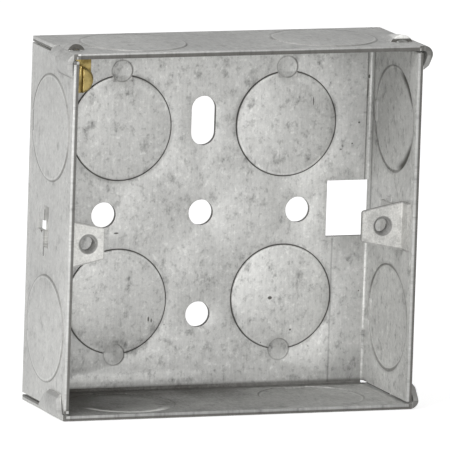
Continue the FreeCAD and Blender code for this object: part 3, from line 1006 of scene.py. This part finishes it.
@dataclass
class BackBox:
    """All the pieces of the box with their finishes.

    Args:
        lug_pitch: Pitch of the lugs' threads, in millimetres.
        screw_pitch: Pitch of the terminal screw's thread, in millimetres.
        lug_ridge: Half the thickness of the lug threads' ridge, in millimetres.
        screw_ridge: Half the thickness of the screw thread's ridge, in millimetres.
        screw_radius: Radius that the screw thread's ridge follows, in millimetres.
        screw_length: How far the screw's thread runs, in millimetres.
        screw_end: Distance of its start from the screw's free end, in millimetres.
        specks: Dark spots on the base.
    """

    lug_pitch: float = 0.6
    screw_pitch: float = 0.7
    lug_ridge: float = 0.16
    screw_ridge: float = 0.15
    screw_radius: float = 1.7
    screw_length: float = 3.6
    screw_end: float = 0.6
    specks: tuple[Speck, ...] = (
        Speck(14.8, -17.2, 0.45, 0.34),
        Speck(19.2, -23.6, 0.22, 0.2),
        Speck(-17.3, -3.6, 0.5, 0.16),
        Speck(-10.2, -20.6, 0.16, 0.5),
        Speck(-9.6, -20.9, 0.14, 0.4),
        Speck(34.0, 25.8, 0.3, 0.4),
        Speck(33.8, 23.5, 0.16, 2.2),
        Speck(32.2, 16.8, 0.2, 0.2),
        Speck(30.9, 12.7, 0.16, 0.15),
        Speck(28.6, 11.6, 0.16, 0.15),
        Speck(22.5, 21.3, 0.1, 0.9),
    )

    def build(self) -> list[bpy.types.Object]:
        """Makes every piece.

        Returns:
            The finished objects.
        """
        sheet = GalvanisedFinish(specks=self.specks).build()
        plating = PlatedFinish(lugs=(LugPlan(-30.15, -2.0, 26.85), LugPlan(30.15, -0.2, 25.8))).build()
        brass = BrassFinish().build()
        pieces = [
            MadePiece(Piece.BODY, Slot.SHEET, sheet),
            ThreadedPiece(Piece.LUG_LEFT, Slot.LUG, plating,
                          thread=self._lug_thread("lug_thread_left", plating)),
            ThreadedPiece(Piece.LUG_RIGHT, Slot.LUG, plating,
                          thread=self._lug_thread("lug_thread_right", plating)),
            MadePiece(Piece.TERMINAL, Slot.BRASS, brass, bevel=0.1),
            ThreadedPiece(Piece.TERMINAL_SCREW, Slot.BRASS, brass, bevel=0.1,
                          thread=self._screw_thread(brass)),
        ]
        return [piece.build() for piece in pieces]

    def _lug_thread(self, name: str, finish: bpy.types.Material) -> ThreadRun:
        """The thread in a lug's hole, placed from the frame's record.

        Args:
            name: The record's name for the hole.
            finish: The thread's material.

        Returns:
            The thread.
        """
        mount = next(m for m in frame["record"]["mounts"] if m["name"] == name)
        length = mount["dims"]["length_mm"] * MM
        start = Vector(mount["pos_m"]) + Vector((0, length / 2, 0))
        radius = (mount["dims"]["r_mm"] + 0.02) * MM
        return ThreadRun(start, length, radius, self.lug_pitch * MM, self.lug_ridge * MM, finish)

    def _screw_thread(self, finish: bpy.types.Material) -> ThreadRun:
        """The thread on the terminal screw's free end, behind the terminal plate.

        Args:
            finish: The thread's material.

        Returns:
            The thread.
        """
        low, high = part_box(Piece.TERMINAL_SCREW.value)
        start = Vector(((low.x + high.x) / 2, high.y - self.screw_end * MM, (low.z + high.z) / 2))
        return ThreadRun(start, self.screw_length * MM, self.screw_radius * MM, self.screw_pitch * MM,
                         self.screw_ridge * MM, finish)


# Camera, light and ground


@dataclass(frozen=True)
class PhotoCamera:
    """The camera of the photograph, fitted to points measured in it.

    Args:
        yaw: Degrees round to the left of straight ahead.
        elevation: Degrees above the horizon.
        roll: Degrees that the camera is turned about its own axis.
        distance: Metres from the aim point.
        aim: The point it looks at, in metres.
        focal: Focal length in image widths.
        shift: Offset of the picture's middle, in image widths.
    """

    yaw: float = 20.7
    elevation: float = 9.576
    roll: float = 1.869
    distance: float = 2.4104
    aim: tuple[float, float, float] = (0.0, -0.0125, 0.0)
    focal: float = 27.826
    shift: tuple[float, float] = (0.00778, -0.006)

    def build(self) -> bpy.types.Object:
        """Makes the scene's camera.

        Returns:
            The camera.
        """
        yaw, up_angle, roll = (math.radians(a) for a in (self.yaw, self.elevation, self.roll))
        away = Vector((-math.sin(yaw) * math.cos(up_angle), -math.cos(yaw) * math.cos(up_angle),
                       math.sin(up_angle)))
        level_right = (-away).cross(Vector((0, 0, 1))).normalized()
        level_up = level_right.cross(-away)
        right = level_right * math.cos(roll) + level_up * math.sin(roll)
        up = level_up * math.cos(roll) - level_right * math.sin(roll)
        data = bpy.data.cameras.new("photo_camera")
        data.sensor_width = 36.0
        data.lens = self.focal * data.sensor_width
        data.shift_x, data.shift_y = self.shift
        data.clip_start, data.clip_end = 0.2, 20.0
        data.dof.use_dof = False
        camera = bpy.data.objects.new("photo_camera", data)
        bpy.context.scene.collection.objects.link(camera)
        turn = Matrix((right, up, away)).transposed().to_4x4()
        camera.matrix_world = Matrix.Translation(Vector(self.aim) + away * self.distance) @ turn
        bpy.context.scene.camera = camera
        return camera


@dataclass(frozen=True)
class SoftLight:
    """A square light that points at the box.

    Args:
        name: The light's name.
        place: Where it is, in metres.
        size: The length of its side, in metres.
        power: Its power in watts.
    """

    name: str
    place: tuple[float, float, float]
    size: float
    power: float

    def build(self) -> bpy.types.Object:
        """Makes the light.

        Returns:
            The light.
        """
        data = bpy.data.lights.new(self.name, "AREA")
        data.shape, data.size, data.energy = "SQUARE", self.size, self.power
        light = bpy.data.objects.new(self.name, data)
        bpy.context.scene.collection.objects.link(light)
        light.location = self.place
        aim = Vector((0, -0.012, 0)) - light.location
        light.rotation_euler = aim.to_track_quat("-Z", "Y").to_euler()
        return light


@dataclass(frozen=True)
class Studio:
    """The white room round the box: lights, ambient light and ground.

    Args:
        ambient: Brightness of the room's own light.
        ground_tone: The ground's colour.
        ground_half: Half of the ground's side, in metres.
        ground_glow: Light that the ground adds towards the camera, which makes it white.
        ground_bounce: Light that the ground gives the box.
        ground_gap: Distance of the ground under the box's lowest point, in millimetres.
        lights: The lights.
    """

    ambient: float = 0.42
    ground_tone: float = 0.9
    ground_half: float = 3.0
    ground_glow: float = 0.6
    ground_bounce: float = 0.15
    ground_gap: float = 0.02
    lights: tuple[SoftLight, ...] = (
        SoftLight("front", (-0.35, -1.7, 0.30), 0.7, 10.5),
        SoftLight("left", (-1.35, -0.75, 0.85), 0.6, 13.0),
    )

    def build(self) -> None:
        """Makes the lights, the room and the ground."""
        for light in self.lights:
            light.build()
        self._room()
        self._ground()
        settings = bpy.context.scene.view_settings
        settings.view_transform = "Standard"
        settings.look = "None"

    def _room(self) -> None:
        """White to the camera, and even soft light to everything else."""
        world = bpy.data.worlds.new("room")
        world.use_nodes = True
        bpy.context.scene.world = world
        g = Graph(world.node_tree)
        g.tree.nodes.clear()
        seen = g.value("ShaderNodeLightPath", "Is Camera Ray")
        lit, shown = (g.value("ShaderNodeBackground", 0, None, {"Color": grey(1.0), "Strength": strength})
                      for strength in (self.ambient, 1.0))
        mix = g.value("ShaderNodeMixShader", 0, None, {0: seen, 1: lit, 2: shown})
        g.node("ShaderNodeOutputWorld", None, {0: mix})

    def _ground(self) -> None:
        """A white floor under the lowest point of the box."""
        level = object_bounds()[0].z - self.ground_gap * MM
        half = self.ground_half
        mesh = bpy.data.meshes.new("ground")
        flat = ((-half, -half), (half, -half), (half, half), (-half, half))
        mesh.from_pydata([(x, y, level) for x, y in flat], [], [(0, 1, 2, 3)])
        ground = bpy.data.objects.new("ground", mesh)
        bpy.context.scene.collection.objects.link(ground)
        material = bpy.data.materials.new("ground_white")
        material.use_nodes = True
        g = Graph(material.node_tree)
        g.tree.nodes.clear()
        paint = g.value("ShaderNodeBsdfDiffuse", 0, None, {"Color": grey(self.ground_tone)})
        seen = g.value("ShaderNodeLightPath", "Is Camera Ray")
        bounce, glow = (g.value("ShaderNodeEmission", 0, None, {"Color": grey(1.0), "Strength": strength})
                        for strength in (self.ground_bounce, self.ground_glow))
        mix = g.value("ShaderNodeMixShader", 0, None, {0: seen, 1: bounce, 2: glow})
        plain = g.value("ShaderNodeAddShader", 0, None, {0: paint, 1: mix})
        g.node("ShaderNodeOutputMaterial", None, {0: plain})
        mesh.materials.append(material)
        ground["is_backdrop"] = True


def main() -> None:
    """Builds the box, the camera and the room."""
    logging.basicConfig(level=logging.INFO, format="%(name)s: %(message)s")
    for made in BackBox().build():
        log.info("piece %s, %d vertices", made.name, len(made.data.vertices))
    PhotoCamera().build()
    Studio().build()


if __name__ == "__main__":
    main()
